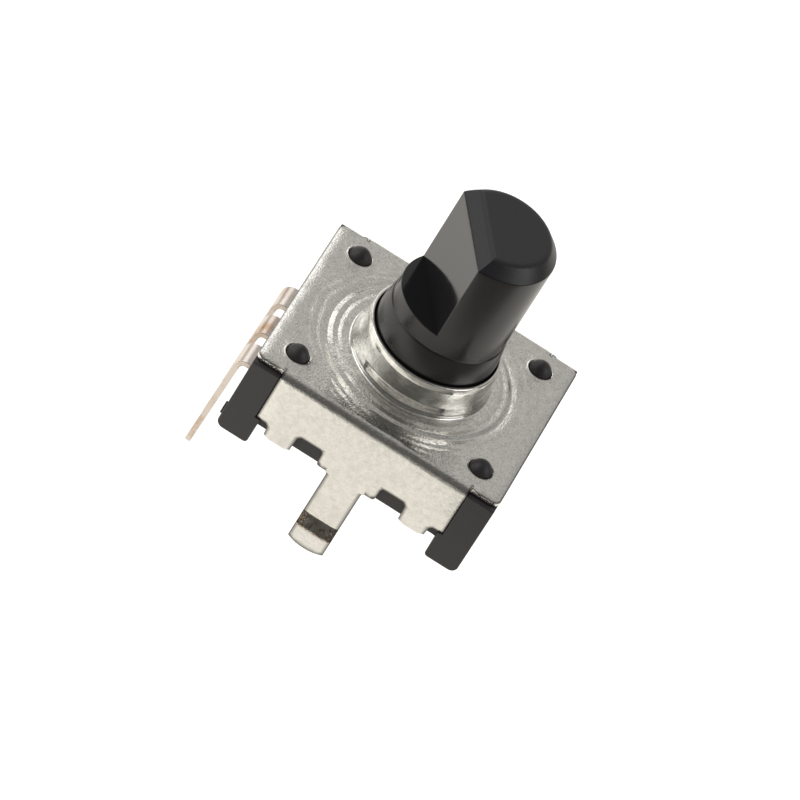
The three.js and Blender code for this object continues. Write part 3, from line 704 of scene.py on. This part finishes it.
def glossy_black():
    """Black glass-filled nylon from a polished mould: nearly black, with a clear gloss on the
    sides, duller on the journal where it has rubbed, and matte with a fine spark grain on top."""
    made, tree, shader, place = new_material("moulded black nylon")
    height = add(tree, "ShaderNodeSeparateXYZ", links={0: place}, out="Z")
    speck = add(tree, "ShaderNodeTexNoise", {"Scale": per_mm(0.1), "Detail": 3.0, "Roughness": 0.6},
                {"Vector": place})
    cloud = add(tree, "ShaderNodeTexNoise", {"Scale": per_mm(1.6), "Detail": 4.0, "Roughness": 0.6},
                {"Vector": place})
    on_top = add(tree, "ShaderNodeMapRange", {"From Min": 14.18 * MM, "From Max": 14.3 * MM},
                 {"Value": height})
    journal = add(tree, "ShaderNodeMapRange", {"From Min": 9.6 * MM, "From Max": 8.5 * MM},
                  {"Value": height})
    skin = add(tree, "ShaderNodeMix", {6: hex_colour("1b1a1d"), 7: hex_colour("262429")},
               {0: on_top}, 2, data_type="RGBA")
    worn = add(tree, "ShaderNodeMix", {7: hex_colour("1d1a1b")}, {0: journal, 6: skin}, 2,
               data_type="RGBA")
    gloss = add(tree, "ShaderNodeMapRange",
                {"From Min": 0.3, "From Max": 0.7, "To Min": 0.07, "To Max": 0.13},
                {"Value": cloud})
    level_place = add(tree, "ShaderNodeVectorMath", {1: (1, 1, 0)}, {0: place},
                      operation="MULTIPLY")
    radius = add(tree, "ShaderNodeVectorMath", links={0: level_place}, out="Value",
                 operation="LENGTH")
    side = add(tree, "ShaderNodeMapRange",
               {"From Min": 2.85 * MM, "From Max": 2.98 * MM, "To Min": 0.0, "To Max": 0.07},
               {"Value": radius})
    gloss = add(tree, "ShaderNodeMath", links={0: side, 1: gloss}, operation="ADD")
    gloss = add(tree, "ShaderNodeMath", {1: 0.12}, {0: journal, 2: gloss}, operation="MULTIPLY_ADD")
    gloss = add(tree, "ShaderNodeMath", {1: 0.3}, {0: on_top, 2: gloss}, operation="MULTIPLY_ADD")
    depth = add(tree, "ShaderNodeMapRange", {"To Min": 0.0003 * MM, "To Max": 0.006 * MM},
                {"Value": on_top})
    relief = add(tree, "ShaderNodeMath", links={0: speck, 1: depth}, operation="MULTIPLY")
    bump = add(tree, "ShaderNodeBump", {"Strength": 1.0, "Distance": 1.0}, {"Height": relief})
    shader.inputs["IOR"].default_value = 1.53
    tree.links.new(worn, shader.inputs["Base Color"])
    tree.links.new(gloss, shader.inputs["Roughness"])
    tree.links.new(bump, shader.inputs["Normal"])
    return made


shaft = build("shaft_moulding", *stacked(shaft_rings), glossy_black(), 28, 0.035 * MM, segments=3)
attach(shaft, "spindle")
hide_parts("shaft")

# ---------------------------------------------------------------------------
# Housing. One matte black moulding with four corner ears, whose feet stand on the board,
# and four pointed stakes that come up through the cover.


def matte_black():
    """Black glass-filled polyester from a spark-eroded mould: dull, with a fine even grain."""
    made, tree, shader, place = new_material("moulded black polyester")
    grain = add(tree, "ShaderNodeTexNoise",
                {"Scale": per_mm(0.09), "Detail": 2.0, "Roughness": 0.6}, {"Vector": place})
    tint = add(tree, "ShaderNodeValToRGB", links={"Fac": grain})
    ramp = tint.node.color_ramp.elements
    ramp[0].color = hex_colour("272526")
    ramp[1].color = hex_colour("393637")
    bump = add(tree, "ShaderNodeBump", {"Strength": 1.0, "Distance": 0.004 * MM}, {"Height": grain})
    shader.inputs["Roughness"].default_value = 0.5
    shader.inputs["IOR"].default_value = 1.57
    tree.links.new(tint, shader.inputs["Base Color"])
    tree.links.new(bump, shader.inputs["Normal"])
    return made


def copy_of(node, name, material, bevel, cuts=((), (), ()), skin=None):
    """A CAD node's mesh with its doubles merged and its edges bevelled. It is first cut by
    planes across X, Y and Z at the places given, and each flat cell between the cuts is made
    one face, so that a bevel meets no long thin triangle."""
    work = bmesh.new()
    work.from_mesh(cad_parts[node].data)
    bmesh.ops.remove_doubles(work, verts=work.verts, dist=MERGE)
    for axis, places in enumerate(cuts):
        across = Vector(np.eye(3)[axis])
        for place in places:
            cut = bmesh.ops.bisect_plane(
                work, geom=[*work.verts, *work.edges, *work.faces], dist=MERGE,
                plane_co=place * MM * across, plane_no=across,
            )
            for side in cut["geom_cut"]:
                if isinstance(side, bmesh.types.BMEdge):
                    side.seam = True
    if any(cuts):
        bmesh.ops.dissolve_limit(
            work, angle_limit=0.01, verts=work.verts, edges=work.edges, delimit={"SEAM"}
        )
    mesh = bpy.data.meshes.new(name)
    work.to_mesh(mesh)
    work.free()
    points = np.zeros(len(mesh.vertices) * 3)
    mesh.vertices.foreach_get("co", points)
    faces = [list(p.vertices) for p in mesh.polygons]
    return build(name, points.reshape(-1, 3), faces, material, 30, bevel, skin=skin)


def outer_skin(middle):
    """True on the housing's outer faces, away from the slots that the terminals fill."""
    x, y, z = (abs(c) / MM for c in middle)
    return (x > 6.7 or y > 5.7) and not (y < 3.4 and 1.5 < z < 2.1)


housing_black = matte_black()
# Cuts at the ears' faces and steps, the terminals' slots, the gate mark and the top's chamfer.
ears_x = np.array([5.29, 5.03])
slots_y = np.array([4.25, 3.33, 1.67, 0.83])
cells = (
    [*-ears_x, *ears_x],
    [*-slots_y, *slots_y, -5.8, -5.2],
    [0.5, 0.9, 1.1, 1.59, 1.71, 1.95, 4.46],
)
housing = copy_of("housing", "housing_moulding", housing_black, 0.05 * MM, cells, outer_skin)
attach(housing, "frame")
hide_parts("housing")

# ---------------------------------------------------------------------------
# Terminals. Stamped and bent strips, thinly tinned over copper alloy, that the housing is
# moulded round.


def tinned_copper():
    """Thin matte tin over copper alloy: a warm grey, with blotches of brown heat stain."""
    made, tree, shader, place = new_material("tinned copper alloy")
    blotch = add(tree, "ShaderNodeTexNoise",
                 {"Scale": per_mm(1.3), "Detail": 5.0, "Roughness": 0.6}, {"Vector": place})
    tint = add(tree, "ShaderNodeValToRGB", links={"Fac": blotch})
    ramp = tint.node.color_ramp.elements
    ramp[0].position = 0.5
    ramp[0].color = hex_colour("ddd3cb")
    ramp[1].position = 0.75
    ramp[1].color = hex_colour("bf9d80")
    shader.inputs["Metallic"].default_value = 1.0
    shader.inputs["Roughness"].default_value = 0.32
    tree.links.new(tint, shader.inputs["Base Color"])
    return made


tin = tinned_copper()
for name in ("a", "b", "c"):
    terminal = copy_of(f"terminal_{name}", f"terminal_{name}_strip", tin, 0.03 * MM)
    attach(terminal, "frame")
    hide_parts(f"terminal_{name}")

# ---------------------------------------------------------------------------
# Works. Inside the housing, and seen only when it is opened: the pale rotor that the shaft
# turns, the slotted code plate under it, the washer, the click spring and the brushes.


def natural_plastic():
    """Unfilled acetal, milky and waxy: light soaks into it a little way."""
    made, _, shader, _ = new_material("natural acetal")
    shader.inputs["Base Color"].default_value = hex_colour("e9e4d6")
    shader.inputs["Roughness"].default_value = 0.38
    shader.inputs["IOR"].default_value = 1.48
    shader.inputs["Subsurface Weight"].default_value = 0.25
    shader.inputs["Subsurface Radius"].default_value = (0.6 * MM, 0.5 * MM, 0.4 * MM)
    shader.inputs["Subsurface Scale"].default_value = 1.0
    return made


def rolled_metal(name, hue, roughness):
    """Thin rolled strip: fine straight rolling lines 0.04 mm apart along its length."""
    made, tree, shader, place = new_material(name)
    squeezed = add(tree, "ShaderNodeMapping", {"Scale": (0.08, 1, 1)}, {"Vector": place})
    lines = add(tree, "ShaderNodeTexNoise", {"Scale": per_mm(0.08), "Detail": 2.0},
                {"Vector": squeezed})
    gloss = add(tree, "ShaderNodeMapRange",
                {"To Min": roughness - 0.06, "To Max": roughness + 0.08}, {"Value": lines})
    bump = add(tree, "ShaderNodeBump", {"Strength": 1.0, "Distance": 0.002 * MM}, {"Height": lines})
    shader.inputs["Base Color"].default_value = hex_colour(hue)
    shader.inputs["Metallic"].default_value = 1.0
    tree.links.new(gloss, shader.inputs["Roughness"])
    tree.links.new(bump, shader.inputs["Normal"])
    return made


acetal = natural_plastic()
bronze = rolled_metal("phosphor bronze strip", "c9905f", 0.24)
silver = rolled_metal("silver-plated contact", "e6e3dc", 0.2)
works = {
    acetal: ("rotor", "thrust_washer"),
    bronze: ("click_spring",),
    silver: ("code_plate", "brush_a", "brush_b", "brush_c"),
}
for material, nodes in works.items():
    for node in nodes:
        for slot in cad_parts[node].material_slots:
            slot.material = material

# ---------------------------------------------------------------------------
# Floor and lights. A white table, soft boxes to the left, the right and behind, two weak ones
# in front, and a dim room.


def level(name, half, height, material):
    """A square in the XY plane that isn't part of the object."""
    mesh = bpy.data.meshes.new(name)
    corners = [(x * half, y * half, height) for x, y in ((-1, -1), (1, -1), (1, 1), (-1, 1))]
    mesh.from_pydata(corners, [], [(0, 1, 2, 3)])
    mesh.materials.append(material)
    made = bpy.data.objects.new(name, mesh)
    bpy.context.scene.collection.objects.link(made)
    return made


floor_z = cad_box[0].z - 0.05 * MM
white, _, shader, _ = new_material("white table")
shader.inputs["Base Color"].default_value = hex_colour("a0a0a0")
shader.inputs["Roughness"].default_value = 0.9
shader.inputs["Emission Color"].default_value = hex_colour("ffffff")
shader.inputs["Emission Strength"].default_value = 0.86
floor = level("floor", 1.2, floor_z, white)
floor.visible_glossy = False
floor.visible_diffuse = False

# The object reflects a lit card instead of the floor. The card is brightest on the left and
# ends in front and on the right, where the table is in the dark.
card, tree, shader, place = new_material("lit card")
edge_line = add(tree, "ShaderNodeVectorMath", {1: (0.658, -0.752, 0)}, {0: place}, out="Value",
                operation="DOT_PRODUCT")
left_line = add(tree, "ShaderNodeVectorMath", {1: (-1, 0, 0)}, {0: place}, out="Value",
                operation="DOT_PRODUCT")
lit = add(tree, "ShaderNodeMapRange",
          {"From Min": 18.0 * MM, "From Max": 23.0 * MM, "To Min": 1.0, "To Max": 0.35},
          {"Value": edge_line}, interpolation_type="SMOOTHSTEP")
leftward = add(tree, "ShaderNodeMapRange",
               {"From Min": 4 * MM, "From Max": 22 * MM, "To Min": 0.95, "To Max": 1.3},
               {"Value": left_line})
strength = add(tree, "ShaderNodeMath", links={0: lit, 1: leftward}, operation="MULTIPLY")
shader.inputs["Base Color"].default_value = hex_colour("000000")
shader.inputs["Specular IOR Level"].default_value = 0.0
shader.inputs["Emission Color"].default_value = hex_colour("fffbf2")
tree.links.new(strength, shader.inputs["Emission Strength"])
reflected = level("lit_card", 1.2, floor_z + 0.02 * MM, card)
reflected.visible_camera = False
reflected.visible_shadow = False


def soft_box(name, at, size, radiance):
    """A square light that faces the object. Its power is pi x area x radiance."""
    light = bpy.data.lights.new(name, "AREA")
    light.size = size
    light.energy = math.pi * size * size * radiance
    made = bpy.data.objects.new(name, light)
    made.location = at
    made.rotation_mode = "QUATERNION"
    made.rotation_quaternion = Vector(at).to_track_quat("Z", "Y")
    bpy.context.scene.collection.objects.link(made)


soft_box("left_box", (-0.62, -0.08, 0.36), 0.4, 2.0)
soft_box("right_box", (0.62, -0.05, 0.36), 0.4, 2.0)
soft_box("back_left_box", (-0.48, 0.69, 0.545), 0.46, 1.15)
soft_box("front_left_box", (-0.428, -0.334, 0.47), 0.3, 0.9)
soft_box("front_right_box", (0.445, -0.312, 0.47), 0.26, 0.45)

# The room is a pale wall behind that darkens overhead and is nearly black in front.
world = bpy.data.worlds.new("studio")
world.use_nodes = True
tree = world.node_tree
direction = add(tree, "ShaderNodeTexCoord", out="Generated")
facing = add(tree, "ShaderNodeVectorMath", {1: (-0.3, 0.735, 0.608)}, {0: direction}, out="Value",
             operation="DOT_PRODUCT")
wall = add(tree, "ShaderNodeMapRange",
           {"From Min": 0.15, "From Max": 0.95, "To Min": 0.11, "To Max": 0.5},
           {"Value": facing}, interpolation_type="SMOOTHSTEP")
tree.nodes["Background"].inputs["Color"].default_value = hex_colour("fffefa")
tree.links.new(wall, tree.nodes["Background"].inputs["Strength"])
bpy.context.scene.world = world
bpy.context.scene.view_settings.view_transform = "Standard"
